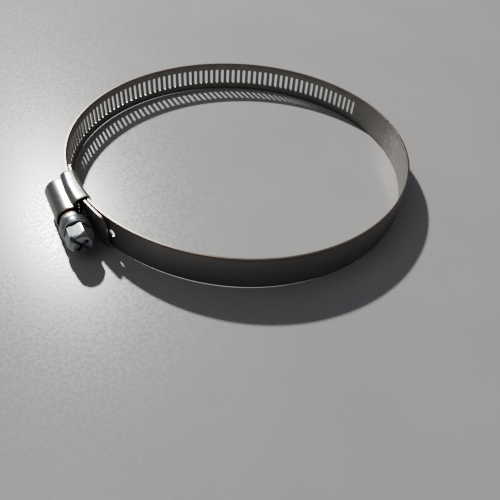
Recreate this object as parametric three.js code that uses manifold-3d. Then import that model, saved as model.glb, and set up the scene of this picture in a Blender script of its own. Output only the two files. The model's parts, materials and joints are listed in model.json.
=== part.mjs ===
// Worm-drive clamp for a 125 mm ventilation duct: a slotted steel band bent into a ring, and a
// worm screw that turns inside a domed housing and pulls the band's free end through it.
//
// Millimetres, +Z up along the ring's axis. The housing is on the -X side, and the screw lies
// within a few degrees of Y, leaning out from the ring towards its head at the -Y end. The origin
// is at the middle of the part's box, at its bottom.
//
// A place along the band is a "band angle" in degrees round the ring's centre. The strip starts
// at FIXED_TIP under the housing, runs once round, passes the housing again at HOUSING_ANGLE + 360
// on top of its own start, and ends at FREE_TIP. The strip is flexible, so it is built as short
// rigid arcs that hinge on each other.
import * as THREE from 'three';
import * as BufferGeometryUtils from 'three/addons/utils/BufferGeometryUtils.js';
import Module from 'manifold-3d';

const wasm = await Module();
wasm.setup();

// Band
const BAND_WIDTH = 12.7;
const BAND_THICKNESS = 0.75;
const INNER_RADIUS = 65.2;
const OUTER_RADIUS = 66.4;
const HOUSING_ANGLE = 180;
const FIXED_TIP = 169;
const FREE_TIP = 558.5;
const TIP_CORNER = 2.2;
const FLARE_START = 548;
const FLARE = 0.5;
const BULGE = 0.85;
const BULGE_ANGLE = 252;
const BULGE_REACH = 50;
const PILOT_HOLE_ANGLE = 199;
const PILOT_HOLE_RADIUS = 1.4;

// Slots in the band
const SLOT_STEP = 7 / 3;
const SLOT_COUNT = 77;
const FIRST_SLOT = 366;
const SLOT_LENGTH = 6.5;
const SLOT_WIDTH = 1.3;

// Hinges between the arcs of the band, midway between slots
const SLOTS_PER_ARC = 12;
const HINGE_COUNT = 12;
const SLOTS_BEFORE_FIRST_HINGE = -69;
const FIRST_HINGE = FIRST_SLOT + (SLOTS_BEFORE_FIRST_HINGE - 0.5) * SLOT_STEP;
const HINGE_GAP = 0.3;

// Screw
const SCREW_RADIUS_ON_RING = 70.3;
const THREAD_PITCH = THREE.MathUtils.degToRad(SLOT_STEP) * OUTER_RADIUS;
const THREAD_CREST = 3.85;
const CORE_RADIUS = 3.1;
const THREAD_BASE_WIDTH = 1.6;
const THREAD_TIP_WIDTH = 0.5;
const THREAD_TURNS = 5;
const TIP_RADIUS = 1.8;
const NECK_RADIUS = 2.2;
const SHOULDER_RADIUS = 4.2;
const COLLAR_RADIUS = 5;
const COLLAR_CHAMFER = 0.4;
const GROOVE_RADIUS = 3.6;
const HEAD_ACROSS_FLATS = 8;
const HEAD_TURN = 50;
const RECESS_WIDTH = 1.3;
const RECESS_DEPTH = 1.6;
const CROSS_LENGTH = 5.2;

// Rounding of the head's end: radius, and distance behind the end face
const HEAD_ROUNDING = [[3.2, 0], [3.8, 0.4], [4.2, 1.1], [4.7, 2.1]];

// Places along the screw, from the housing's middle towards the head
const TIP_END = -8.9;
const CORE_START = -7.6;
const NECK_START = 8.1;
const SHOULDER_START = 9.3;
const COLLAR_START = 12.3;
const GROOVE_START = 15.8;
const HEAD_START = 16.4;
const HEAD_END = 22.4;

// The housing, the saddle's wings and the screw lean out from the ring towards the head, from a
// place at the back of the housing.
const LEAN = 3;
const LEAN_START = -8;

// Housing and saddle, made from the same sheet
const SHEET = 0.6;
const DOME_RADIUS = 4.6;
const DOME_BACK = -8.6;
const DOME_FRONT = 9;
const FLANGE_RADIUS_ON_RING = 67.35;
const FLANGE_REACH = 5.7;
const LIP = 0.6;
const LIP_CLEARANCE = 0.4;
const LIP_FOOT = 67.1;
const SADDLE_BACK = -8;
const SADDLE_FRONT = 8;
const SADDLE_BASE_RADIUS = 64.1;
const SADDLE_SIDE = 6.8;
const SADDLE_STEPS = 5;

const radians = THREE.MathUtils.degToRad;
const degrees = THREE.MathUtils.radToDeg;

const zinc = { color: 0xb9bcb6, roughness: 0.38, metalness: 0.9 };
const darkSteel = { color: 0x3a3835, roughness: 0.5, metalness: 0.8 };

function toSolid(geometry) {
  const bare = geometry.clone();
  bare.deleteAttribute('normal');
  bare.deleteAttribute('uv');
  const merged = BufferGeometryUtils.mergeVertices(bare, 1e-4);
  return new wasm.Manifold(new wasm.Mesh({
    numProp: 3,
    vertProperties: new Float32Array(merged.attributes.position.array),
    triVerts: new Uint32Array(merged.index.array),
  }));
}

function toGeometry(solid) {
  const mesh = solid.getMesh();
  const geometry = new THREE.BufferGeometry();
  geometry.setAttribute('position', new THREE.BufferAttribute(new Float32Array(mesh.vertProperties), 3));
  geometry.setIndex(new THREE.BufferAttribute(new Uint32Array(mesh.triVerts), 1));
  return geometry;
}

function part(name, geometry, look) {
  const mesh = new THREE.Mesh(geometry, new THREE.MeshStandardMaterial(look));
  mesh.name = name;
  return mesh;
}

function arcPoints(x, y, radius, from, to, count) {
  const points = [];
  for (let i = 0; i <= count; i += 1) {
    const angle = radians(THREE.MathUtils.lerp(from, to, i / count));
    points.push(new THREE.Vector2(x + radius * Math.cos(angle), y + radius * Math.sin(angle)));
  }
  return points;
}

function circlePoints(x, y, radius, count) {
  return arcPoints(x, y, radius, 0, 360, count).slice(0, count);
}

function leanOut(geometry) {
  geometry.translate(SCREW_RADIUS_ON_RING, LEAN_START, 0);
  geometry.rotateZ(-radians(LEAN));
  geometry.translate(-SCREW_RADIUS_ON_RING, -LEAN_START, 0);
  return geometry;
}

// ---- Band -------------------------------------------------------------------------------------

const arcAngle = SLOTS_PER_ARC * SLOT_STEP;
const hingeAngles = Array.from({ length: HINGE_COUNT }, (_, i) => FIRST_HINGE + i * arcAngle);
const lastHinge = hingeAngles[HINGE_COUNT - 1];

// Radius of the strip's centre line: it winds out from under the free end to on top of the fixed
// end, bulges out a little past the head, and its free tip springs out.
function bandRadius(angle) {
  const along = THREE.MathUtils.inverseLerp(FIRST_HINGE, lastHinge, angle);
  const wound = THREE.MathUtils.lerp(INNER_RADIUS, OUTER_RADIUS, THREE.MathUtils.clamp(along, 0, 1));
  const flare = Math.max(0, (angle - FLARE_START) / (FREE_TIP - FLARE_START));
  const fromBulge = Math.min(Math.abs(angle - BULGE_ANGLE) / BULGE_REACH, 1);
  return wound + FLARE * flare * flare + BULGE * (1 + Math.cos(Math.PI * fromBulge)) / 2;
}

function ringPoint(radius, angle) {
  return new THREE.Vector2(radius * Math.cos(radians(angle)), radius * Math.sin(radians(angle)));
}

// The arc's outline seen along Z, with its corners midway between slots.
function arcSolid(from, to) {
  const angles = [from];
  const firstBar = FIRST_SLOT - SLOT_STEP / 2;
  const start = Math.ceil((from - firstBar) / SLOT_STEP + 0.2);
  for (let bar = start; firstBar + bar * SLOT_STEP < to - 0.5; bar += 1) {
    angles.push(firstBar + bar * SLOT_STEP);
  }
  angles.push(to);
  const half = BAND_THICKNESS / 2;
  const outer = angles.map((angle) => ringPoint(bandRadius(angle) + half, angle));
  const inner = angles.map((angle) => ringPoint(bandRadius(angle) - half, angle));
  const outline = new THREE.Shape([...outer, ...inner.reverse()]);
  const geometry = new THREE.ExtrudeGeometry(outline, { depth: BAND_WIDTH, bevelEnabled: false });
  geometry.translate(0, 0, -BAND_WIDTH / 2);
  return toSolid(geometry);
}

// A cutter that goes through the band from inside to outside, with its middle at the angle.
function throughCutter(shape, angle) {
  const depth = 4;
  const cutter = new THREE.ExtrudeGeometry(shape, { depth, bevelEnabled: false, curveSegments: 4 });
  cutter.rotateX(Math.PI / 2);
  cutter.translate(0, depth / 2, 0);
  cutter.rotateZ(radians(angle) - Math.PI / 2);
  const centre = ringPoint(bandRadius(angle), angle);
  cutter.translate(centre.x, centre.y, 0);
  return toSolid(cutter);
}

function rectangle(width, height) {
  return new THREE.Shape([
    new THREE.Vector2(-width / 2, -height / 2),
    new THREE.Vector2(width / 2, -height / 2),
    new THREE.Vector2(width / 2, height / 2),
    new THREE.Vector2(-width / 2, height / 2),
  ]);
}

function cutSlots(solid, from, to) {
  let cut = solid;
  const slot = rectangle(SLOT_WIDTH, SLOT_LENGTH);
  for (let i = 0; i < SLOT_COUNT; i += 1) {
    const angle = FIRST_SLOT + i * SLOT_STEP;
    if (angle > from && angle < to) {
      cut = cut.subtract(throughCutter(slot, angle));
    }
  }
  return cut;
}

// Takes the two corners off the free tip with quarter circles.
function roundTip(solid) {
  const corner = new THREE.Shape();
  const reach = 1;
  corner.moveTo(reach, -TIP_CORNER);
  corner.lineTo(reach, reach);
  corner.lineTo(-TIP_CORNER, reach);
  corner.lineTo(-TIP_CORNER, 0);
  corner.absarc(-TIP_CORNER, -TIP_CORNER, TIP_CORNER, Math.PI / 2, 0, true);
  corner.closePath();
  let cut = solid;
  for (const side of [1, -1]) {
    const cutter = new THREE.ExtrudeGeometry(corner, { depth: 6, bevelEnabled: false, curveSegments: 4 });
    cutter.rotateX(Math.PI / 2);
    cutter.translate(0, 3, BAND_WIDTH / 2);
    cutter.rotateY(side > 0 ? 0 : Math.PI);
    cutter.scale(side > 0 ? 1 : -1, 1, 1);
    if (side < 0) {
      flipFaces(cutter);
    }
    cutter.rotateZ(radians(FREE_TIP) + Math.PI / 2);
    const tip = ringPoint(bandRadius(FREE_TIP), FREE_TIP);
    cutter.translate(tip.x, tip.y, 0);
    cut = cut.subtract(toSolid(cutter));
  }
  return cut;
}

function flipFaces(geometry) {
  const { position } = geometry.attributes;
  const a = new THREE.Vector3();
  const b = new THREE.Vector3();
  for (let i = 0; i < position.count; i += 3) {
    a.fromBufferAttribute(position, i);
    b.fromBufferAttribute(position, i + 1);
    position.setXYZ(i, b.x, b.y, b.z);
    position.setXYZ(i + 1, a.x, a.y, a.z);
  }
}

function bandArc(name, from, to) {
  return part(name, toGeometry(cutSlots(arcSolid(from, to), from, to)), darkSteel);
}

const halfGap = degrees(HINGE_GAP / 2 / OUTER_RADIUS);

function bandFixedEnd() {
  const disc = new THREE.Shape(circlePoints(0, 0, PILOT_HOLE_RADIUS, 12));
  const solid = arcSolid(FIXED_TIP, FIRST_HINGE - halfGap).subtract(throughCutter(disc, PILOT_HOLE_ANGLE));
  return part('band_fixed_end', toGeometry(solid), darkSteel);
}

function bandFreeEnd() {
  const from = lastHinge + halfGap;
  const solid = roundTip(cutSlots(arcSolid(from, FREE_TIP), from, FREE_TIP));
  return part('band_free_end', toGeometry(solid), darkSteel);
}

function bandArcs() {
  const arcs = [];
  for (let i = 1; i < HINGE_COUNT; i += 1) {
    const name = `band_arc_${String(i).padStart(2, '0')}`;
    arcs.push(bandArc(name, hingeAngles[i - 1] + halfGap, hingeAngles[i] - halfGap));
  }
  return arcs;
}

// ---- Worm screw -------------------------------------------------------------------------------
// Built round its own axis, Y, with the head towards -Y and the housing's middle at Y = 0.

class Helix extends THREE.Curve {
  constructor(radius, pitch, turns, start) {
    super();
    Object.assign(this, { radius, pitch, turns, start });
  }

  outward(t) {
    const turn = 2 * Math.PI * this.turns * t;
    return new THREE.Vector3(Math.sin(turn), 0, Math.cos(turn));
  }

  getPoint(t) {
    return this.outward(t).multiplyScalar(this.radius).setY(this.start + this.pitch * this.turns * t);
  }

  // Keeps the section upright on the core: its X axis always points away from the screw's axis.
  computeFrenetFrames(segments) {
    const frames = { tangents: [], normals: [], binormals: [] };
    for (let i = 0; i <= segments; i += 1) {
      const normal = this.outward(i / segments);
      const tangent = this.getTangent(i / segments);
      frames.tangents.push(tangent);
      frames.normals.push(normal);
      frames.binormals.push(new THREE.Vector3().crossVectors(tangent, normal));
    }
    return frames;
  }
}

// The thread's teeth meet the slots: at rest the nearest slot past the housing's middle is a tooth.
function threadSolid() {
  const slotPastMiddle = FIRST_SLOT + Math.ceil((HOUSING_ANGLE + 360 - FIRST_SLOT) / SLOT_STEP) * SLOT_STEP;
  const slotPlace = radians(slotPastMiddle - HOUSING_ANGLE - 360) * OUTER_RADIUS;
  const start = -slotPlace - THREAD_PITCH * (0.25 + Math.floor(THREAD_TURNS / 2));
  const root = CORE_RADIUS - 0.4;
  const section = new THREE.Shape([
    new THREE.Vector2(0, -THREAD_BASE_WIDTH / 2),
    new THREE.Vector2(THREAD_CREST - root, -THREAD_TIP_WIDTH / 2),
    new THREE.Vector2(THREAD_CREST - root, THREAD_TIP_WIDTH / 2),
    new THREE.Vector2(0, THREAD_BASE_WIDTH / 2),
  ]);
  const path = new Helix(root, THREAD_PITCH, THREAD_TURNS, start);
  return toSolid(new THREE.ExtrudeGeometry(section, { steps: 20 * THREAD_TURNS, extrudePath: path }));
}

function shaftSolid() {
  const chamfered = COLLAR_RADIUS - COLLAR_CHAMFER;
  const profile = [
    [0, HEAD_START + 0.5], [GROOVE_RADIUS, HEAD_START + 0.5], [GROOVE_RADIUS, GROOVE_START],
    [chamfered, GROOVE_START], [COLLAR_RADIUS, GROOVE_START - COLLAR_CHAMFER],
    [COLLAR_RADIUS, COLLAR_START + COLLAR_CHAMFER], [chamfered, COLLAR_START],
    [SHOULDER_RADIUS, COLLAR_START], [SHOULDER_RADIUS, SHOULDER_START],
    [NECK_RADIUS, SHOULDER_START], [NECK_RADIUS, NECK_START],
    [CORE_RADIUS, NECK_START], [CORE_RADIUS, CORE_START],
    [TIP_RADIUS, CORE_START], [TIP_RADIUS, TIP_END], [0, TIP_END],
  ];
  const points = profile.map(([radius, place]) => new THREE.Vector2(radius, -place));
  return toSolid(new THREE.LatheGeometry(points, 32));
}

function headSolid() {
  const cornerRadius = HEAD_ACROSS_FLATS / 2 / Math.cos(Math.PI / 6);
  const hexagon = new THREE.CylinderGeometry(cornerRadius, cornerRadius, HEAD_END - HEAD_START, 6);
  hexagon.rotateY(Math.PI / 6);
  hexagon.translate(0, -(HEAD_END + HEAD_START) / 2, 0);
  const outermost = HEAD_ROUNDING[HEAD_ROUNDING.length - 1][0];
  const rounded = [
    new THREE.Vector2(0, -HEAD_END),
    ...HEAD_ROUNDING.map(([radius, behind]) => new THREE.Vector2(radius, behind - HEAD_END)),
    new THREE.Vector2(outermost, 1 - HEAD_START),
    new THREE.Vector2(0, 1 - HEAD_START),
  ];
  const turned = new THREE.LatheGeometry(rounded, 36);
  let head = toSolid(hexagon).intersect(toSolid(turned));
  const openings = [[2 * cornerRadius + 1, RECESS_WIDTH], [RECESS_WIDTH, CROSS_LENGTH]];
  for (const [across, along] of openings) {
    const box = new THREE.BoxGeometry(across, 2 * RECESS_DEPTH, along);
    box.translate(0, -HEAD_END, 0);
    head = head.subtract(toSolid(box));
  }
  return head;
}

function wormScrew() {
  const geometry = toGeometry(shaftSolid().add(threadSolid()));
  const head = toGeometry(headSolid());
  head.rotateY(radians(HEAD_TURN));
  const screw = toGeometry(toSolid(geometry).add(toSolid(head)));
  screw.translate(-SCREW_RADIUS_ON_RING, 0, 0);
  return part('worm_screw', leanOut(screw), zinc);
}

// ---- Housing and saddle -----------------------------------------------------------------------
// Both are bent from sheet. A section is drawn with X as the distance from the ring's centre and
// Y as the height over the band's middle, and is then swept along the screw.

function sheetSection(points) {
  const offset = (side) => points.map((point, i) => {
    const before = points[Math.max(i - 1, 0)];
    const after = points[Math.min(i + 1, points.length - 1)];
    const direction = after.clone().sub(before).normalize();
    return new THREE.Vector2(-direction.y, direction.x).multiplyScalar(side * SHEET / 2).add(point);
  });
  return new THREE.Shape([...offset(-1), ...offset(1).reverse()]);
}

function sweep(section, back, front, steps) {
  const geometry = new THREE.ExtrudeGeometry(section, { depth: front - back, steps, bevelEnabled: false });
  geometry.translate(0, 0, back);
  const turn = new THREE.Matrix4().makeBasis(
    new THREE.Vector3(-1, 0, 0),
    new THREE.Vector3(0, 0, -1),
    new THREE.Vector3(0, -1, 0),
  );
  geometry.applyMatrix4(turn);
  return geometry;
}

function mirrored(points) {
  const other = points.map((point) => new THREE.Vector2(point.x, -point.y)).reverse();
  return [...other, ...points];
}

function housing() {
  const side = [
    new THREE.Vector2(FLANGE_RADIUS_ON_RING + 0.5, DOME_RADIUS),
    new THREE.Vector2(FLANGE_RADIUS_ON_RING + 0.1, DOME_RADIUS + 0.15),
    new THREE.Vector2(FLANGE_RADIUS_ON_RING, DOME_RADIUS + 0.5),
    new THREE.Vector2(FLANGE_RADIUS_ON_RING, FLANGE_REACH),
  ];
  const arch = arcPoints(SCREW_RADIUS_ON_RING, 0, DOME_RADIUS, -90, 90, 16);
  const lower = side.map((point) => new THREE.Vector2(point.x, -point.y)).reverse();
  let solid = toSolid(sweep(sheetSection([...lower, ...arch, ...side]), DOME_BACK, DOME_FRONT, 1));
  const lips = [[DOME_FRONT - LIP, DOME_FRONT, NECK_RADIUS], [DOME_BACK, DOME_BACK + LIP, TIP_RADIUS]];
  for (const [from, to, shaft] of lips) {
    const wall = new THREE.Shape([
      new THREE.Vector2(LIP_FOOT, -DOME_RADIUS),
      ...arch,
      new THREE.Vector2(LIP_FOOT, DOME_RADIUS),
    ]);
    wall.holes.push(new THREE.Path(circlePoints(SCREW_RADIUS_ON_RING, 0, shaft + LIP_CLEARANCE, 16)));
    solid = solid.add(toSolid(sweep(wall, from, to, 1)));
  }
  return part('housing', leanOut(toGeometry(solid)), zinc);
}

// The saddle lies inside the ring and follows its curve. Its two wings wrap round the band's edges
// and fold over the housing's flanges, leaning out with them.
function saddle() {
  const wing = [
    new THREE.Vector2(SADDLE_BASE_RADIUS, SADDLE_SIDE - 1.3),
    ...arcPoints(SADDLE_BASE_RADIUS + 1.1, SADDLE_SIDE - 1.1, 1.1, 160, 110, 2),
    new THREE.Vector2(SADDLE_BASE_RADIUS + 1.7, SADDLE_SIDE),
    ...arcPoints(SADDLE_BASE_RADIUS + 2.8, SADDLE_SIDE - 2.4, 2.4, 80, 30, 3),
  ];
  const geometry = sweep(sheetSection(mirrored(wing)), SADDLE_BACK, SADDLE_FRONT, SADDLE_STEPS);
  const { position } = geometry.attributes;
  for (let i = 0; i < position.count; i += 1) {
    const angle = position.getY(i) / SADDLE_BASE_RADIUS;
    const straight = -position.getX(i);
    const share = THREE.MathUtils.smoothstep(straight, SADDLE_BASE_RADIUS + 0.5, FLANGE_RADIUS_ON_RING);
    const radius = straight + share * (-position.getY(i) - LEAN_START) * Math.tan(radians(LEAN));
    position.setX(i, -radius * Math.cos(angle));
    position.setY(i, radius * Math.sin(angle));
  }
  return part('saddle', toGeometry(toSolid(geometry)), zinc);
}

// ---- Assembly ---------------------------------------------------------------------------------

const clamp = new THREE.Group();
clamp.add(housing(), saddle(), wormScrew(), bandFixedEnd(), ...bandArcs(), bandFreeEnd());
const box = new THREE.Box3().setFromObject(clamp);
const middle = box.getCenter(new THREE.Vector3());
clamp.position.set(-middle.x, -middle.y, -box.min.z);

export default clamp;
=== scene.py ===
import json
import math

import bmesh
import bpy
from mathutils import Matrix, Vector


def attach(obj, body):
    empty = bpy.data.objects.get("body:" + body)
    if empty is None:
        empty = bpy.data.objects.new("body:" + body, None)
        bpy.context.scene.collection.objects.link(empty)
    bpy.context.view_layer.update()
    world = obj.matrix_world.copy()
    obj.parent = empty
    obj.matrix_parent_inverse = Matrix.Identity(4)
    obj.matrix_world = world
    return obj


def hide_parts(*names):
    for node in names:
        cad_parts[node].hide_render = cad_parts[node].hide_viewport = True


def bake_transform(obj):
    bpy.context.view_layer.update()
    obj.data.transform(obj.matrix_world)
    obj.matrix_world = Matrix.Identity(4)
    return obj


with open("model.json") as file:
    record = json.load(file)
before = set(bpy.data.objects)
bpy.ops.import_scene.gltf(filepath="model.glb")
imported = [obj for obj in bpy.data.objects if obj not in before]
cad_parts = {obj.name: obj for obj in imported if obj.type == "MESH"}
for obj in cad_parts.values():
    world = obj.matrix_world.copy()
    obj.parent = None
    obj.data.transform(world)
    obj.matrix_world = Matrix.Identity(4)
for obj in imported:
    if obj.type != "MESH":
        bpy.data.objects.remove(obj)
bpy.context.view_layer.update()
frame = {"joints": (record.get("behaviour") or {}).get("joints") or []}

# A worm-drive clamp for a 125 mm duct. Places are worked out in millimetres from the ring's
# centre, at the band's middle height, and place() turns them into the frame's metres.
#
# A place along the band is a band angle, in degrees round the ring's centre: the strip starts at
# FIXED_TIP under the housing, which is at HOUSING_ANGLE, runs once round and ends at FREE_TIP.

MM = 0.001

# Band
BAND_WIDTH = 12.7
BAND_THICKNESS = 0.75
INNER_RADIUS = 65.2
OUTER_RADIUS = 66.4
HOUSING_ANGLE = 180.0
FIXED_TIP = 169.0
FREE_TIP = 558.5
TIP_CORNER = 2.2
FLARE_START = 548.0
FLARE = 0.5
BULGE = 0.85
BULGE_ANGLE = 252.0
BULGE_REACH = 50.0
SLOT_STEP = 7 / 3
SLOT_COUNT = 77
FIRST_SLOT = 366.0
SLOT_LENGTH = 6.5
SLOT_WIDTH = 1.3
FIRST_BAR = FIRST_SLOT - SLOT_STEP / 2
CELLS_PER_ARC = 12
CELLS_PAST_LAST_HINGE = 3
HINGE_COUNT = 12
SLOTS_BEFORE_LAST_HINGE = 63
ARC_ANGLE = CELLS_PER_ARC * SLOT_STEP
LAST_HINGE = FIRST_BAR + SLOTS_BEFORE_LAST_HINGE * SLOT_STEP
FIRST_HINGE = LAST_HINGE - (HINGE_COUNT - 1) * ARC_ANGLE
PILOT_HOLE_ANGLE = 199.0
PILOT_HOLE_RADIUS = 1.4
PILOT_HOLE_MARGIN = 0.8
EDGE_BREAK = 0.09
NICK_ANGLE = 344.5
NICK_DEPTH = 0.3
NICK_HALF_WIDTH = 0.7
EDGE_STAIN_START = 4.2

# Screw, with places along it counted from the housing's middle towards the head
THREAD_PITCH = math.radians(SLOT_STEP) * OUTER_RADIUS
SCREW_RADIUS_ON_RING = 70.3
THREAD_CREST = 3.85
THREAD_TURNS = 5
THREAD_STEPS_PER_TURN = 30
CORE_RADIUS = 3.1
TIP_RADIUS = 1.8
NECK_RADIUS = 2.2
SHOULDER_RADIUS = 4.2
COLLAR_RADIUS = 5.0
GROOVE_RADIUS = 3.6
HEAD_ACROSS_FLATS = 8.0
HEAD_TURN = 50.0
RECESS_WIDTH = 1.2
RECESS_DEPTH = 1.5
CROSS_LENGTH = 5.0
SLOT_CUT_LENGTH = HEAD_ACROSS_FLATS + 3
HEAD_BACK = ((4.45, 0.0), (4.7, 0.25))
HEAD_ROUNDING = ((4.7, 2.1), (4.46, 1.55), (4.22, 1.1), (4.0, 0.7), (3.78, 0.4), (3.5, 0.15), (3.2, 0.0))
TIP_END = -8.9
CORE_START = -7.6
NECK_START = 8.1
SHOULDER_START = 9.3
COLLAR_START = 12.3
GROOVE_START = 15.8
HEAD_START = 16.4
HEAD_END = 22.4

# The housing, the saddle's wings and the screw lean out from the ring towards the head
LEAN = 3.0
LEAN_START = -8.0

# Housing and saddle
SHEET = 0.6
DOME_RADIUS = 4.6
DOME_BACK = -8.6
DOME_FRONT = 9.0
FLANGE_RADIUS_ON_RING = 67.35
FLANGE_REACH = 5.7
END_ROLL = 0.9
END_PULL = 0.055
SHAFT_CLEARANCE = 0.4
LIP_FOOT = 67.1
SADDLE_BACK = -8.0
SADDLE_FRONT = 8.0
SADDLE_BASE_RADIUS = 64.1
SADDLE_SIDE = 6.8
SADDLE_CORNER = 1.1
WING_FOLD = 2.4
WING_FOLD_OUT = 2.8

# Camera, from the ring's centre at the band's lower edge, before the turn that brings the housing
# to -X: distances in millimetres and angles in degrees
VIEW_TURN = -35.5
CAMERA_DISTANCE = 158.2
CAMERA_ELEVATION = 45.14
CAMERA_ROLL = 5.02
CAMERA_TARGET = (7.41, -55.17, 6.0)
CAMERA_LENS = 35.06
CAMERA_SENSOR = 36.0

# How far the floor lies under the band's lower edge beside the housing
FLOOR_DROP = 0.55
FLOOR_HALF_SIDE = 3.0

# Lights, as seen from the ring: angles in degrees, distances and sizes in metres, power in watts
KEY_AZIMUTH = 122.6
KEY_ELEVATION = 40.3
KEY_DISTANCE = 1.6
KEY_SIZE = 0.075
KEY_POWER = 43
KEY_COLOUR = (1.0, 0.985, 0.95)
FILL_AZIMUTH = 200
FILL_ELEVATION = 60
FILL_DISTANCE = 1.2
FILL_SIZE = 0.9
FILL_POWER = 1.0
FILL_COLOUR = (0.93, 0.95, 1.0)
WORLD_COLOUR = (0.62, 0.62, 0.67, 1)
WORLD_STRENGTH = 0.2


def leaned(x, y, lean=LEAN):
    """Where a place on the housing or the screw comes to once they lean."""
    angle = math.radians(lean)
    out = x + SCREW_RADIUS_ON_RING
    back = y + LEAN_START
    return (
        out * math.cos(angle) + back * math.sin(angle) - SCREW_RADIUS_ON_RING,
        back * math.cos(angle) - out * math.sin(angle) - LEAN_START,
    )


joints = {joint["name"]: joint for joint in frame["joints"]}
screw_middle = Vector((*leaned(-SCREW_RADIUS_ON_RING, 0), 0)) * MM
ring_centre = Vector(joints["screw_turn"]["pos_m"]) - screw_middle


def place(x, y, z):
    return ring_centre + Vector((x, y, z)) * MM


def turned(azimuth):
    """A direction in plan, given as the camera sees it, in the frame's own axes."""
    return math.radians(azimuth + VIEW_TURN)


def lerp(low, high, share):
    return low + (high - low) * share


def clamp(value, low, high):
    return max(low, min(high, value))


# ---- Camera, light and floor ------------------------------------------------------------------


def make_camera():
    data = bpy.data.cameras.new("camera")
    data.sensor_width = CAMERA_SENSOR
    data.lens = CAMERA_LENS
    data.clip_start = 0.01
    camera = bpy.data.objects.new("camera", data)
    bpy.context.scene.collection.objects.link(camera)
    spin = Matrix.Rotation(math.radians(VIEW_TURN), 3, "Z")
    elevation = math.radians(CAMERA_ELEVATION)
    back = spin @ Vector((0, -math.cos(elevation), math.sin(elevation)))
    target = place(0, 0, -BAND_WIDTH / 2) + spin @ Vector(CAMERA_TARGET) * MM
    camera.location = target + back * CAMERA_DISTANCE * MM
    look = (-back).to_track_quat("-Z", "Y")
    roll = Matrix.Rotation(math.radians(CAMERA_ROLL), 3, "Z").to_quaternion()
    camera.rotation_mode = "QUATERNION"
    camera.rotation_quaternion = look @ roll
    bpy.context.scene.camera = camera


def area_light(name, azimuth, elevation, distance, size, power, colour):
    data = bpy.data.lights.new(name, "AREA")
    data.shape = "DISK"
    data.size = size
    data.energy = power
    data.color = colour
    light = bpy.data.objects.new(name, data)
    bpy.context.scene.collection.objects.link(light)
    across = math.cos(math.radians(elevation))
    direction = Vector(
        (
            across * math.cos(turned(azimuth)),
            across * math.sin(turned(azimuth)),
            math.sin(math.radians(elevation)),
        )
    )
    light.location = ring_centre + direction * distance
    light.rotation_mode = "QUATERNION"
    light.rotation_quaternion = direction.to_track_quat("Z", "Y")


def make_lights():
    area_light("key", KEY_AZIMUTH, KEY_ELEVATION, KEY_DISTANCE, KEY_SIZE, KEY_POWER, KEY_COLOUR)
    area_light("fill", FILL_AZIMUTH, FILL_ELEVATION, FILL_DISTANCE, FILL_SIZE, FILL_POWER, FILL_COLOUR)
    world = bpy.data.worlds.new("studio")
    world.use_nodes = True
    background = world.node_tree.nodes["Background"]
    background.inputs["Color"].default_value = WORLD_COLOUR
    background.inputs["Strength"].default_value = WORLD_STRENGTH
    bpy.context.scene.world = world


# ---- Materials --------------------------------------------------------------------------------


class Shader:
    """A material with a Principled shader, and short ways to add the nodes that drive it."""

    def __init__(self, name, metallic):
        self.material = bpy.data.materials.new(name)
        self.material.use_nodes = True
        self.tree = self.material.node_tree
        self.surface = self.tree.nodes["Principled BSDF"]
        self.surface.inputs["Metallic"].default_value = metallic

    def node(self, kind, settings=None, **inputs):
        made = self.tree.nodes.new(kind)
        for key, value in (settings or {}).items():
            setattr(made, key, value)
        for key, value in inputs.items():
            self.set(made.inputs[key.replace("_", " ")], value)
        return made

    def set(self, socket, value):
        if isinstance(value, bpy.types.NodeSocket):
            self.tree.links.new(value, socket)
        else:
            socket.default_value = value

    def stretched(self, source, scale):
        mapping = self.node("ShaderNodeMapping")
        self.set(mapping.inputs["Vector"], source)
        self.set(mapping.inputs["Scale"], scale)
        return mapping.outputs["Vector"]

    def noise(self, source, scale, detail=4.0, roughness=0.55, distortion=0.0):
        made = self.node("ShaderNodeTexNoise", Vector=source, Scale=scale, Detail=detail)
        self.set(made.inputs["Roughness"], roughness)
        self.set(made.inputs["Distortion"], distortion)
        return made.outputs["Fac"]

    def ramp(self, source, low, high, out_low=0.0, out_high=1.0):
        made = self.node("ShaderNodeMapRange", {"interpolation_type": "SMOOTHSTEP"}, Value=source)
        for key, value in (("From Min", low), ("From Max", high), ("To Min", out_low), ("To Max", out_high)):
            self.set(made.inputs[key], value)
        return made.outputs["Result"]

    def maths(self, operation, first, second):
        made = self.node("ShaderNodeMath", {"operation": operation})
        self.set(made.inputs[0], first)
        self.set(made.inputs[1], second)
        return made.outputs["Value"]

    def mix(self, share, first, second):
        made = self.node("ShaderNodeMix", {"data_type": "RGBA"})
        self.set(made.inputs["Factor"], share)
        self.set(made.inputs[6], first)
        self.set(made.inputs[7], second)
        return made.outputs[2]

    def bump(self, height, distance, strength=1.0):
        made = self.node("ShaderNodeBump", Height=height, Distance=distance, Strength=strength)
        self.set(self.surface.inputs["Normal"], made.outputs["Normal"])

    def finish(self, colour, roughness):
        self.set(self.surface.inputs["Base Color"], colour)
        self.set(self.surface.inputs["Roughness"], roughness)
        return self.material


def rgb(red, green, blue):
    return (red, green, blue, 1.0)


STAIN_BROWN = rgb(0.15, 0.105, 0.08)
SCRATCH_GREY = rgb(0.3, 0.29, 0.27)
SPECK_BLACK = rgb(0.02, 0.019, 0.018)
ZINC_BLUE = rgb(0.29, 0.32, 0.35)
ZINC_DIRT = rgb(0.22, 0.22, 0.19)
# Rust tones, which also serve as painted shade inside the recess in the screw's head
RUST_AND_SHADE_DARK = rgb(0.05, 0.028, 0.019)
RUST_AND_SHADE_BROWN = rgb(0.11, 0.058, 0.038)


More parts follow.
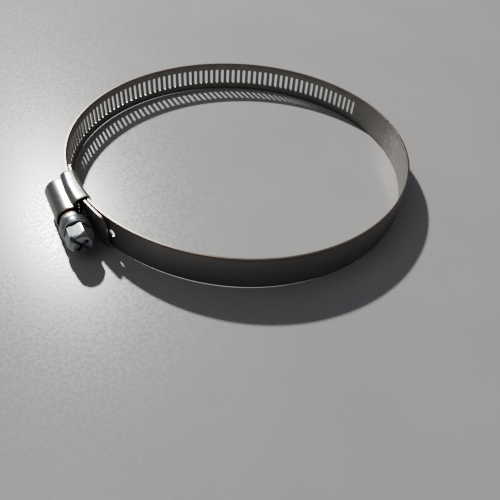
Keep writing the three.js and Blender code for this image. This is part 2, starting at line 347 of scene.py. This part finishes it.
def floor_material():
    shader = Shader("floor", 0.0)
    coordinates = shader.node("ShaderNodeTexCoord").outputs["Object"]
    grain = shader.noise(coordinates, 900, 3)
    patches = shader.noise(coordinates, 14, 3)
    tone = shader.ramp(patches, 0.3, 0.7)
    colour = shader.mix(tone, rgb(0.35, 0.35, 0.353), rgb(0.375, 0.375, 0.375))
    shader.bump(grain, 0.00004, 0.35)
    return shader.finish(colour, shader.ramp(grain, 0.3, 0.7, 0.21, 0.33))


def band_material(name, dark, warm, roughness, metallic):
    """Rolled steel strip: scratches run along it, with brown stains that gather at its edges."""
    shader = Shader(name, metallic)
    along = shader.node("ShaderNodeUVMap", {"uv_map": "strip"}).outputs["UV"]
    scratches = shader.noise(shader.stretched(along, (0.05, 9.0, 1.0)), 1.0, 6, 0.7)
    hairlines = shader.noise(shader.stretched(along, (0.02, 30.0, 1.0)), 1.0, 2, 0.5)
    stains = shader.noise(shader.stretched(along, (0.14, 0.22, 1.0)), 1.0, 5, 0.62, 0.6)
    specks = shader.noise(shader.stretched(along, (1.5, 1.9, 1.0)), 1.0, 4, 0.6)
    edge = shader.node("ShaderNodeAttribute", {"attribute_name": "edge"}).outputs["Fac"]
    worn = shader.ramp(shader.maths("ADD", edge, shader.maths("MULTIPLY", stains, 0.9)), 0.75, 1.35)
    colour = shader.mix(shader.ramp(stains, 0.35, 0.72), dark, warm)
    colour = shader.mix(shader.maths("MULTIPLY", worn, 0.75), colour, STAIN_BROWN)
    lines = shader.ramp(scratches, 0.56, 0.7, 0.0, 0.5)
    colour = shader.mix(lines, colour, SCRATCH_GREY)
    colour = shader.mix(shader.ramp(specks, 0.66, 0.76, 0.0, 0.5), colour, SPECK_BLACK)
    shader.bump(shader.maths("ADD", scratches, hairlines), 0.00002, 0.35)
    scratched = shader.maths("MULTIPLY", scratches, 0.22)
    grain = shader.maths("ADD", scratched, shader.maths("MULTIPLY", stains, 0.18))
    return shader.finish(colour, shader.maths("ADD", grain, roughness - 0.2))


def zinc_material(name, bright, roughness):
    """Zinc plate: silver with a faint blue and yellow cast, dirt in cloudy patches, rust at cut edges and
    round the screw's neck and head, and painted shade in the recess of the screw's head.
    """
    shader = Shader(name, 0.92)
    coordinates = shader.node("ShaderNodeTexCoord").outputs["Object"]
    cast = shader.noise(coordinates, 330, 3)
    cloud = shader.noise(coordinates, 900, 5, 0.6)
    brushed = shader.noise(shader.stretched(coordinates, (900.0, 260.0, 2600.0)), 1.0, 4, 0.65)
    rust_and_shade_mask = shader.node("ShaderNodeAttribute", {"attribute_name": "rust_and_shade"}).outputs["Fac"]
    colour = shader.mix(shader.ramp(cast, 0.38, 0.62), ZINC_BLUE, bright)
    colour = shader.mix(shader.ramp(cloud, 0.5, 0.75, 0.0, 0.45), colour, ZINC_DIRT)
    # Besides rust, this mask paints shade into the recess in the screw's head with the dark rust tones
    rust_and_shade_share = shader.ramp(shader.maths("ADD", rust_and_shade_mask, shader.maths("MULTIPLY", cloud, 0.8)), 0.82, 1.15)
    rust_and_shade_tone = shader.mix(shader.ramp(cloud, 0.35, 0.65), RUST_AND_SHADE_DARK, RUST_AND_SHADE_BROWN)
    colour = shader.mix(rust_and_shade_share, colour, rust_and_shade_tone)
    shader.bump(shader.maths("ADD", brushed, cloud), 0.00003, 0.3)
    shiny = shader.maths("ADD", shader.maths("MULTIPLY", brushed, 0.25), roughness - 0.12)
    return shader.finish(colour, shader.maths("ADD", shiny, shader.maths("MULTIPLY", rust_and_shade_share, 0.4)))


def make_materials():
    return {
        "band": band_material("band_steel", rgb(0.2, 0.197, 0.188), rgb(0.19, 0.176, 0.162), 0.46, 0.66),
        "edge": band_material("band_cut_edge", rgb(0.4, 0.397, 0.38), rgb(0.3, 0.285, 0.26), 0.34, 0.95),
        "housing": zinc_material("housing_zinc", rgb(0.34, 0.34, 0.3), 0.26),
        "saddle": zinc_material("saddle_zinc", rgb(0.42, 0.41, 0.34), 0.24),
        "screw": zinc_material("screw_zinc", rgb(0.33, 0.345, 0.35), 0.26),
    }


# ---- Mesh helpers -----------------------------------------------------------------------------


def loft(mesh, loops, closed=True, material=0):
    """Joins each loop of points to the next with four-sided faces."""
    rows = [[mesh.verts.new(point) for point in loop] for loop in loops]
    for low, high in zip(rows, rows[1:]):
        count = len(low)
        for i in range(count if closed else count - 1):
            j = (i + 1) % count
            face = mesh.faces.new((low[i], low[j], high[j], high[i]))
            face.material_index = material
    return rows


def new_piece(name, mesh, materials, sharp=32.0):
    bmesh.ops.remove_doubles(mesh, verts=mesh.verts, dist=0.002 * MM)
    bmesh.ops.recalc_face_normals(mesh, faces=mesh.faces)
    data = bpy.data.meshes.new(name)
    mesh.to_mesh(data)
    mesh.free()
    for material in materials:
        data.materials.append(material)
    data.shade_smooth()
    data.set_sharp_from_angle(angle=math.radians(sharp))
    piece = bpy.data.objects.new(name, data)
    bpy.context.scene.collection.objects.link(piece)
    return piece


def evaluated(piece):
    """The piece with its modifiers applied."""
    bpy.context.view_layer.update()
    graph = bpy.context.evaluated_depsgraph_get()
    data = bpy.data.meshes.new_from_object(piece.evaluated_get(graph))
    piece.modifiers.clear()
    piece.data = data
    return piece


def combine(piece, other, operation):
    cut = piece.modifiers.new("cut", "BOOLEAN")
    cut.operation = operation
    cut.solver = "EXACT"
    cut.object = other
    evaluated(piece)
    bpy.data.objects.remove(other)
    return piece


def soften(piece, width, segments=2, angle=35.0):
    bevel = piece.modifiers.new("soften", "BEVEL")
    bevel.width = width * MM
    bevel.segments = segments
    bevel.limit_method = "ANGLE"
    bevel.angle_limit = math.radians(angle)
    evaluated(piece)
    piece.data.shade_smooth()
    piece.data.set_sharp_from_angle(angle=math.radians(48))
    return piece


def point_value(piece, name, value):
    """Stores value(place in millimetres from the ring's centre) at each of the piece's points."""
    attribute = piece.data.attributes.new(name, "FLOAT", "POINT")
    values = [value((vertex.co - ring_centre) / MM) for vertex in piece.data.vertices]
    attribute.data.foreach_set("value", values)


# ---- Band -------------------------------------------------------------------------------------

COLUMN_HEIGHTS = (-1.0, -0.72, -0.5, -0.25, 0.0, 0.25, 0.5, 0.72, 1.0)
ROW_SHARES = (0.0, 0.25, 0.5, 0.75, 1.0)
HALF_WIDTH = BAND_WIDTH / 2
HALF_THICKNESS = BAND_THICKNESS / 2


def band_radius(angle):
    along = clamp((angle - FIRST_HINGE) / (LAST_HINGE - FIRST_HINGE), 0, 1)
    flare = max(0.0, (angle - FLARE_START) / (FREE_TIP - FLARE_START))
    from_bulge = min(abs(angle - BULGE_ANGLE) / BULGE_REACH, 1)
    bulge = BULGE * (1 + math.cos(math.pi * from_bulge)) / 2
    return lerp(INNER_RADIUS, OUTER_RADIUS, along) + FLARE * flare * flare + bulge


def on_band(angle, height, depth):
    radius = band_radius(angle) + depth
    return place(radius * math.cos(math.radians(angle)), radius * math.sin(math.radians(angle)), height)


def degrees_along(length):
    return math.degrees(length / OUTER_RADIUS)


def half_height(angle, side):
    """Half the band's width at the angle: rounded off at the free tip, and nicked at one place."""
    distance = math.radians(FREE_TIP - angle) * OUTER_RADIUS
    height = HALF_WIDTH
    if distance < TIP_CORNER:
        height -= TIP_CORNER - math.sqrt(max(0.0, TIP_CORNER**2 - (TIP_CORNER - distance) ** 2))
    if side > 0:
        off = abs(math.radians(angle - NICK_ANGLE) * OUTER_RADIUS) / NICK_HALF_WIDTH
        height -= NICK_DEPTH * max(0.0, 1 - off * off)
    return height


def face_height(angle, level):
    return level * (half_height(angle, level) - EDGE_BREAK)


def cell_outline(left, right, depth):
    """The cell's outline on one face of the band, anticlockwise from its lower left corner."""
    rows = [lerp(left, right, share) for share in ROW_SHARES]
    outline = [(angle, face_height(angle, -1.0)) for angle in rows[:-1]]
    outline += [(right, face_height(right, level)) for level in COLUMN_HEIGHTS[:-1]]
    outline += [(angle, face_height(angle, 1.0)) for angle in reversed(rows[1:])]
    outline += [(left, face_height(left, level)) for level in reversed(COLUMN_HEIGHTS[1:])]
    return [on_band(angle, height, depth) for angle, height in outline]


def round_directions():
    """Directions from a hole's middle, in degrees, that go with the points of a cell's outline."""
    lower = [220, 245, 270, 295]
    right = [320, 345, 360, 360, 360, 360, 360, 375]
    upper = [400, 425, 450, 475]
    left = [500, 525, 540, 540, 540, 540, 540, 555]
    return lower + right + upper + left


def slot_outline(grow):
    """A slot with round ends, as distances in millimetres along and across the band."""
    half = SLOT_WIDTH / 2 + grow
    straight = SLOT_LENGTH / 2 + grow - half
    shape = []
    sides = {6: -1.0, 7: -0.5, 8: 0.0, 9: 0.5, 10: 1.0, 18: 1.0, 19: 0.5, 20: 0.0, 21: -0.5, 22: -1.0}
    for i, direction in enumerate(round_directions()):
        angle = math.radians(direction)
        if i in sides:
            shape.append((half * math.cos(angle), sides[i] * straight))
            continue
        end = 1 if 11 <= i <= 17 else -1
        x = math.copysign(abs(math.cos(angle)) ** 0.8, math.cos(angle))
        y = math.copysign(abs(math.sin(angle)) ** 0.8, math.sin(angle))
        shape.append((half * x, end * straight + half * y))
    return shape


def hole_outline(grow):
    radius = PILOT_HOLE_RADIUS + grow
    count = len(round_directions())
    shape = []
    for i in range(count):
        angle = math.radians(225 + 360 * i / count)
        shape.append((radius * math.cos(angle), radius * math.sin(angle)))
    return shape


def add_holed_cell(mesh, left, right, outline):
    """A cell of the band with a hole through it, its rims broken on both faces."""
    middle = (left + right) / 2

    def rim(grow, depth):
        return [on_band(middle + degrees_along(x), y, depth) for x, y in outline(grow)]

    inset = HALF_THICKNESS - EDGE_BREAK
    front = cell_outline(left, right, HALF_THICKNESS)
    back = cell_outline(left, right, -HALF_THICKNESS)
    loft(mesh, [front, rim(EDGE_BREAK, HALF_THICKNESS)])
    wall = ((EDGE_BREAK, HALF_THICKNESS), (0, inset), (0, -inset), (EDGE_BREAK, -HALF_THICKNESS))
    loft(mesh, [rim(grow, depth) for grow, depth in wall], material=1)
    loft(mesh, [rim(EDGE_BREAK, -HALF_THICKNESS), back])


def add_plain_cell(mesh, left, right):
    for depth in (HALF_THICKNESS, -HALF_THICKNESS):
        columns = []
        for angle in (left, right):
            columns.append([on_band(angle, face_height(angle, level), depth) for level in COLUMN_HEIGHTS])
        loft(mesh, columns, closed=False)


def add_edges(mesh, angles):
    """The sheared upper and lower edges, with broken corners."""
    inset = HALF_THICKNESS - EDGE_BREAK
    for side in (-1, 1):
        section = ((EDGE_BREAK, HALF_THICKNESS), (0, inset), (0, -inset), (EDGE_BREAK, -HALF_THICKNESS))
        rows = [
            [on_band(angle, side * (half_height(angle, side) - below), depth) for angle in angles]
            for below, depth in section
        ]
        loft(mesh, rows, closed=False, material=1)


def add_end(mesh, angle):
    """Closes the strip's cross section at the angle."""
    inset = HALF_THICKNESS - EDGE_BREAK
    levels = [face_height(angle, level) for level in COLUMN_HEIGHTS]
    front = [on_band(angle, height, HALF_THICKNESS) for height in levels]
    back = [on_band(angle, height, -HALF_THICKNESS) for height in levels]
    loft(mesh, [front, back], closed=False, material=1)
    for side in (-1, 1):
        reach = half_height(angle, side)
        section = [
            on_band(angle, side * (reach - EDGE_BREAK), HALF_THICKNESS),
            on_band(angle, side * reach, inset),
            on_band(angle, side * reach, -inset),
            on_band(angle, side * (reach - EDGE_BREAK), -HALF_THICKNESS),
        ]
        face = mesh.faces.new([mesh.verts.new(point) for point in section])
        face.material_index = 1


def band_cells(start, end):
    """The cells between two band angles: (left, right, outline of the hole or None)."""
    bars = math.ceil((start - FIRST_BAR) / SLOT_STEP + 0.05)
    stops = [start]
    while FIRST_BAR + bars * SLOT_STEP < end - 0.05:
        stops.append(FIRST_BAR + bars * SLOT_STEP)
        bars += 1
    stops.append(end)
    last_slot = FIRST_SLOT + (SLOT_COUNT - 1) * SLOT_STEP
    hole_half = degrees_along(PILOT_HOLE_RADIUS + PILOT_HOLE_MARGIN)
    nick_half = degrees_along(NICK_HALF_WIDTH)
    tip_half = degrees_along(TIP_CORNER)
    cells = []
    for left, right in zip(stops, stops[1:]):
        middle = (left + right) / 2
        if FIRST_SLOT - 0.5 < middle < last_slot + 0.5:
            cells.append((left, right, slot_outline))
            continue
        cuts = [left, right, middle]
        cuts += [NICK_ANGLE + nick_half * share for share in (-1, -0.6, -0.3, 0, 0.3, 0.6, 1)]
        cuts += [FREE_TIP - tip_half * share for share in (1, 0.7, 0.45, 0.25, 0.12, 0.05)]
        cuts = sorted(cut for cut in cuts if left <= cut <= right)
        cells += [(low, high, None) for low, high in zip(cuts, cuts[1:]) if high - low > 0.005]
    hole = (PILOT_HOLE_ANGLE - hole_half, PILOT_HOLE_ANGLE + hole_half)
    if start < hole[0] and hole[1] <= end + 0.01:
        kept = [cell for cell in cells if cell[1] <= hole[0] - 0.3 or cell[0] >= hole[1] + 0.3]
        before = max([cell[1] for cell in kept if cell[1] <= hole[0]])
        kept.append((before, hole[0], None))
        kept.append((hole[0], hole[1], hole_outline))
        after = [cell[0] for cell in kept if cell[0] >= hole[1] + 0.3] + [end]
        if min(after) - hole[1] > 0.01:
            kept.append((hole[1], min(after), None))
        cells = sorted(kept, key=lambda cell: cell[0])
    return cells


def add_strip_map(piece, start, end):
    """UV map "strip": millimetres along and across the band; "edge" rises to 1 at its edges."""
    layer = piece.data.uv_layers.new(name="strip")
    for loop in piece.data.loops:
        offset = (piece.data.vertices[loop.vertex_index].co - ring_centre) / MM
        angle = math.degrees(math.atan2(offset.y, offset.x))
        while angle < start - 1:
            angle += 360
        layer.data[loop.index].uv = (math.radians(angle) * OUTER_RADIUS, offset.z)
    stain_width = HALF_WIDTH - EDGE_STAIN_START
    point_value(piece, "edge", lambda at: clamp((abs(at.z) - EDGE_STAIN_START) / stain_width, 0, 1))


def band_piece(name, start, end):
    mesh = bmesh.new()
    cells = band_cells(start, end)
    edge_angles = [start]
    for left, right, outline in cells:
        if outline is None:
            add_plain_cell(mesh, left, right)
            edge_angles.append(right)
        else:
            add_holed_cell(mesh, left, right, outline)
            edge_angles += [lerp(left, right, share) for share in ROW_SHARES[1:]]
    add_edges(mesh, edge_angles)
    add_end(mesh, start)
    add_end(mesh, end)
    piece = new_piece(name, mesh, (materials["band"], materials["edge"]))
    add_strip_map(piece, start, end)
    return piece


def make_band():
    """Rigid pieces at the two ends, and between them one piece across each hinge of the frame."""
    half_arc = ARC_ANGLE / 2
    hinges = [FIRST_HINGE + i * ARC_ANGLE for i in range(HINGE_COUNT)]
    first_seam = PILOT_HOLE_ANGLE + degrees_along(PILOT_HOLE_RADIUS + PILOT_HOLE_MARGIN)
    last_seam = hinges[-1] + CELLS_PAST_LAST_HINGE * SLOT_STEP
    fixed = band_piece("band_fixed_end_strip", FIXED_TIP, first_seam)
    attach(fixed, "housing")
    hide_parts("band_fixed_end")
    seams = [first_seam] + [hinge + half_arc for hinge in hinges[:-1]] + [last_seam]
    for i in range(HINGE_COUNT):
        piece = band_piece(f"band_strip_{i + 1:02d}", seams[i], seams[i + 1])
        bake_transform(piece)
        if i < HINGE_COUNT - 1:
            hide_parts(f"band_arc_{i + 1:02d}")
    free = band_piece("band_free_end_strip", last_seam, FREE_TIP)
    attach(free, "band_free")
    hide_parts("band_free_end")


# ---- Housing and saddle -----------------------------------------------------------------------


def in_housing(radius, height, along, bend=False):
    """A point at a distance from the ring's centre, a height, and a place along the screw."""
    if bend:
        angle = along / SADDLE_BASE_RADIUS
        lean_from = SADDLE_BASE_RADIUS + 0.5
        share = clamp((radius - lean_from) / (FLANGE_RADIUS_ON_RING - lean_from), 0, 1)
        share = share * share * (3 - 2 * share)
        radius += share * (along - LEAN_START) * math.tan(math.radians(LEAN))
        return place(-radius * math.cos(angle), -radius * math.sin(angle), height)
    return place(*leaned(-radius, -along), height)


def arc(x, y, radius, start, end, count):
    points = []
    for i in range(count + 1):
        angle = math.radians(lerp(start, end, i / count))
        points.append((x + radius * math.cos(angle), y + radius * math.sin(angle)))
    return points


def sheet_section(points):
    """The closed outline of bent sheet whose middle line is given."""
    sides = ([], [])
    for i, (x, y) in enumerate(points):
        before = points[max(i - 1, 0)]
        after = points[min(i + 1, len(points) - 1)]
        length = math.hypot(after[0] - before[0], after[1] - before[1])
        normal = (-(after[1] - before[1]) / length, (after[0] - before[0]) / length)
        for side, sign in zip(sides, (-1, 1)):
            side.append((x + sign * normal[0] * SHEET / 2, y + sign * normal[1] * SHEET / 2))
    return sides[0] + sides[1][::-1]


def mirrored(points):
    return [(x, -y) for x, y in reversed(points)] + points


def add_swept(mesh, section, stations, bend=False, shape=None):
    """Sweeps a closed section along the screw. Its two ends are filled between the sheet's sides."""
    shape = shape or (lambda x, y, along: (x, y))
    loops = []
    for along in stations:
        loops.append([in_housing(*shape(x, y, along), along, bend) for x, y in section])
    rows = loft(mesh, loops)
    half = len(section) // 2
    for row in (rows[0], rows[-1]):
        for i in range(half - 1):
            mesh.faces.new((row[i], row[i + 1], row[-i - 2], row[-i - 1]))


def dome_line():
    side = [
        (FLANGE_RADIUS_ON_RING + 0.6, DOME_RADIUS),
        (FLANGE_RADIUS_ON_RING + 0.22, DOME_RADIUS + 0.12),
        (FLANGE_RADIUS_ON_RING + 0.03, DOME_RADIUS + 0.42),
        (FLANGE_RADIUS_ON_RING, DOME_RADIUS + 0.8),
        (FLANGE_RADIUS_ON_RING, FLANGE_REACH),
    ]
    lower = [(x, -y) for x, y in reversed(side)]
    return lower + arc(SCREW_RADIUS_ON_RING, 0, DOME_RADIUS, -90, 90, 40) + side


def dome_shape(x, y, along):
    """Pulls the dome in a little at its ends, where its lips are rolled."""
    reach = max(0.0, along - (DOME_FRONT - END_ROLL), (DOME_BACK + END_ROLL) - along) / END_ROLL
    pull = 1 - END_PULL * reach * reach
    if x < SCREW_RADIUS_ON_RING - 1.5:
        return x, y
    return SCREW_RADIUS_ON_RING + (x - SCREW_RADIUS_ON_RING) * pull, y * pull


def add_lip(mesh, back, front, hole_radius):
    """The wall that holds the screw at one end of the dome, with the hole for its shaft."""
    inside = DOME_RADIUS - SHEET / 2
    outline = [(LIP_FOOT, lerp(inside, -inside, i / 8)) for i in range(8)]
    outline += [(LIP_FOOT, -inside), (lerp(LIP_FOOT, SCREW_RADIUS_ON_RING, 0.5), -inside)]
    outline += arc(SCREW_RADIUS_ON_RING, 0, inside, -90, 90, 20)
    outline += [(lerp(LIP_FOOT, SCREW_RADIUS_ON_RING, 0.5), inside)]
    hole = []
    for x, y in outline:
        angle = math.atan2(y, x - SCREW_RADIUS_ON_RING)
        hole.append((SCREW_RADIUS_ON_RING + hole_radius * math.cos(angle), hole_radius * math.sin(angle)))
    order = [(outline, back), (outline, front), (hole, front), (hole, back), (outline, back)]
    loft(mesh, [[in_housing(x, y, along) for x, y in points] for points, along in order])


def housing_rust(at):
    along = -at.y
    front = clamp(1 - abs(along - DOME_FRONT) / 1.1, 0, 1)
    back = clamp(1 - abs(along - DOME_BACK) / 0.6, 0, 1) * 0.7
    return max(front, back)


def make_housing():
    mesh = bmesh.new()
    stations = [DOME_BACK + step for step in (0, 0.2, 0.45, 0.7, END_ROLL)]
    stations += [lerp(DOME_BACK + END_ROLL, DOME_FRONT - END_ROLL, i / 8) for i in range(1, 8)]
    stations += [DOME_FRONT - step for step in (END_ROLL, 0.7, 0.45, 0.2, 0)]
    add_swept(mesh, sheet_section(dome_line()), stations, shape=dome_shape)
    piece = new_piece("housing_dome", mesh, (materials["housing"],))
    lips = bmesh.new()
    add_lip(lips, DOME_BACK + 0.05, DOME_BACK + SHEET, TIP_RADIUS + SHAFT_CLEARANCE)
    add_lip(lips, DOME_FRONT - SHEET, DOME_FRONT - 0.05, NECK_RADIUS + SHAFT_CLEARANCE)
    lip_piece = new_piece("housing_lips", lips, (materials["housing"],))
    soften(piece, 0.12)
    for made in (piece, lip_piece):
        point_value(made, "rust_and_shade", housing_rust)
        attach(made, "housing")
    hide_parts("housing")


def wing_line():
    """Half the saddle: from the middle of its base, round the band's edge, to the folded wing."""
    base = [(SADDLE_BASE_RADIUS, lerp(0.6, SADDLE_SIDE - 1.3, i / 3)) for i in range(4)]
    corner = arc(SADDLE_BASE_RADIUS + SADDLE_CORNER, SADDLE_SIDE - SADDLE_CORNER, SADDLE_CORNER, 172, 98, 5)
    fold = arc(SADDLE_BASE_RADIUS + WING_FOLD_OUT, SADDLE_SIDE - WING_FOLD, WING_FOLD, 92, 28, 9)
    return base + corner + fold


def saddle_rust(at):
    along = -at.y
    ends = clamp(1 - min(abs(along - SADDLE_FRONT), abs(along - SADDLE_BACK)) / 0.45, 0, 1) * 0.55
    cut = clamp(1 - abs(abs(at.z) - 5.7) / 0.35, 0, 1) if at.x < -68.2 else 0.0
    return max(ends, cut * 0.5)


def make_saddle():
    mesh = bmesh.new()
    stations = [lerp(SADDLE_BACK, SADDLE_FRONT, i / 14) for i in range(15)]
    add_swept(mesh, sheet_section(mirrored(wing_line())), stations, bend=True)
    piece = new_piece("saddle_wings", mesh, (materials["saddle"],))
    soften(piece, 0.1)
    point_value(piece, "rust_and_shade", saddle_rust)
    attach(piece, "housing")
    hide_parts("saddle")


# ---- Worm screw -------------------------------------------------------------------------------

ROUND_COUNT = 72


def on_screw(radius, angle, along):
    """A point at a distance from the screw's axis, at an angle from outwards to upwards."""
    out = radius * math.cos(math.radians(angle))
    up = radius * math.sin(math.radians(angle))
    return place(*leaned(-SCREW_RADIUS_ON_RING - out, -along), up)


def screw_solid(name, profile, outline=None):
    """A turned piece; outline(angle) limits its radius, as a hexagon does."""
    mesh = bmesh.new()
    loops = []
    for radius, along in profile:
        loop = []
        for i in range(ROUND_COUNT):
            angle = HEAD_TURN + 360 * i / ROUND_COUNT
            reach = min(radius, outline(angle)) if outline else radius
            loop.append(on_screw(reach, angle, along))
        loops.append(loop)
    rows = loft(mesh, loops)
    mesh.faces.new(rows[0])
    mesh.faces.new(rows[-1])
    return new_piece(name, mesh, (materials["screw"],))


def hexagon_radius(angle):
    """The head's corner is at HEAD_TURN, where the long slot ends."""
    within = (angle - HEAD_TURN) % 60 - 30
    return HEAD_ACROSS_FLATS / 2 / math.cos(math.radians(within))


def shaft_profile():
    collar = COLLAR_RADIUS
    return [
        (TIP_RADIUS - 0.3, TIP_END), (TIP_RADIUS, TIP_END + 0.3), (TIP_RADIUS, CORE_START),
        (CORE_RADIUS, CORE_START), (CORE_RADIUS, NECK_START), (NECK_RADIUS, NECK_START),
        (NECK_RADIUS, SHOULDER_START), (SHOULDER_RADIUS - 0.25, SHOULDER_START),
        (SHOULDER_RADIUS, SHOULDER_START + 0.25), (SHOULDER_RADIUS, COLLAR_START),
        (collar - 0.4, COLLAR_START), (collar - 0.12, COLLAR_START + 0.12), (collar, COLLAR_START + 0.4),
        (collar, GROOVE_START - 0.5), (collar - 0.14, GROOVE_START - 0.16), (collar - 0.5, GROOVE_START),
        (GROOVE_RADIUS, GROOVE_START), (GROOVE_RADIUS, HEAD_START + 0.5),
    ]


def thread_piece():
    """One ridge wound on the core, right-handed, whose teeth stand in the band's slots."""
    slot_past_middle = math.ceil((HOUSING_ANGLE + 360 - FIRST_SLOT) / SLOT_STEP)
    tooth = math.radians(FIRST_SLOT + slot_past_middle * SLOT_STEP - HOUSING_ANGLE - 360) * OUTER_RADIUS
    steps = THREAD_STEPS_PER_TURN * THREAD_TURNS
    mesh = bmesh.new()
    loops = []
    for i in range(steps + 1):
        turn = THREAD_TURNS * i / steps
        ease = clamp(min(i, steps - i) / 15, 0.05, 1)
        crest = lerp(CORE_RADIUS - 0.1, THREAD_CREST, ease)
        along = tooth + THREAD_PITCH * (2 - turn)
        section = [(CORE_RADIUS - 0.4, 0.85), (crest - 0.1, 0.36), (crest, 0.24)]
        section += [(radius, -offset) for radius, offset in reversed(section)]
        loops.append([on_screw(radius, 180 - 360 * turn, along + offset) for radius, offset in section])
    rows = loft(mesh, loops)
    mesh.faces.new(rows[0])
    mesh.faces.new(rows[-1])
    return new_piece("thread", mesh, (materials["screw"],))


def recess_box(name, length, width):
    mesh = bmesh.new()
    bmesh.ops.create_cube(mesh, size=1)
    spin = Matrix.Rotation(math.radians(-LEAN), 4, "Z") @ Matrix.Rotation(math.radians(HEAD_TURN), 4, "Y")
    size = Matrix.Diagonal((length * MM, 2 * RECESS_DEPTH * MM, width * MM, 1))
    move = Matrix.Translation(on_screw(0, 0, HEAD_END))
    mesh.transform(move @ spin @ size)
    return new_piece(name, mesh, (materials["screw"],))


def screw_rust_and_recess_shade(at):
    x, y = leaned(at.x, at.y, -LEAN)
    along = -y
    off = math.hypot(x + SCREW_RADIUS_ON_RING, at.z)
    neck = clamp(1 - abs(along - SHOULDER_START) / 2.0, 0, 1)
    behind = clamp(1 - abs(along - (GROOVE_START + HEAD_START) / 2) / 0.6, 0, 1) * 0.75
    # Painted shade: the inside of the head's recess is darkened with the rust tones, where shade falls
    recess_shade = 0.8 if along > HEAD_END - RECESS_DEPTH - 0.1 and along < HEAD_END - 0.35 and off < 3.4 else 0.0
    return max(neck, behind, recess_shade)


def make_screw():
    piece = screw_solid("worm_screw_turned", shaft_profile())
    head_profile = [(radius, HEAD_START + ahead) for radius, ahead in HEAD_BACK]
    head_profile += [(radius, HEAD_END - behind) for radius, behind in HEAD_ROUNDING]
    head = screw_solid("head", head_profile, hexagon_radius)
    combine(head, recess_box("slot", SLOT_CUT_LENGTH, RECESS_WIDTH), "DIFFERENCE")
    combine(head, recess_box("cross", RECESS_WIDTH, CROSS_LENGTH), "DIFFERENCE")
    combine(piece, head, "UNION")
    combine(piece, thread_piece(), "UNION")
    soften(piece, 0.07, segments=2, angle=38.0)
    point_value(piece, "rust_and_shade", screw_rust_and_recess_shade)
    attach(piece, "screw")
    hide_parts("worm_screw")


# ---- Floor ------------------------------------------------------------------------------------


def make_floor():
    """A plane that meets the band's lower edge on the far side and lies just under it elsewhere."""
    near = place(-INNER_RADIUS, 0, -HALF_WIDTH - FLOOR_DROP)
    far = place(OUTER_RADIUS, 0, -HALF_WIDTH)
    slope = (far.z - near.z) / (far.x - near.x)
    half = FLOOR_HALF_SIDE
    plan = ((-half, -half), (half, -half), (half, half), (-half, half))
    corners = [(x, y, near.z + slope * (x - near.x)) for x, y in plan]
    data = bpy.data.meshes.new("floor")
    data.from_pydata(corners, [], [(0, 1, 2, 3)])
    data.materials.append(floor_material())
    floor = bpy.data.objects.new("floor", data)
    bpy.context.scene.collection.objects.link(floor)


make_camera()
materials = make_materials()
make_lights()
make_floor()
make_band()
make_housing()
make_saddle()
make_screw()
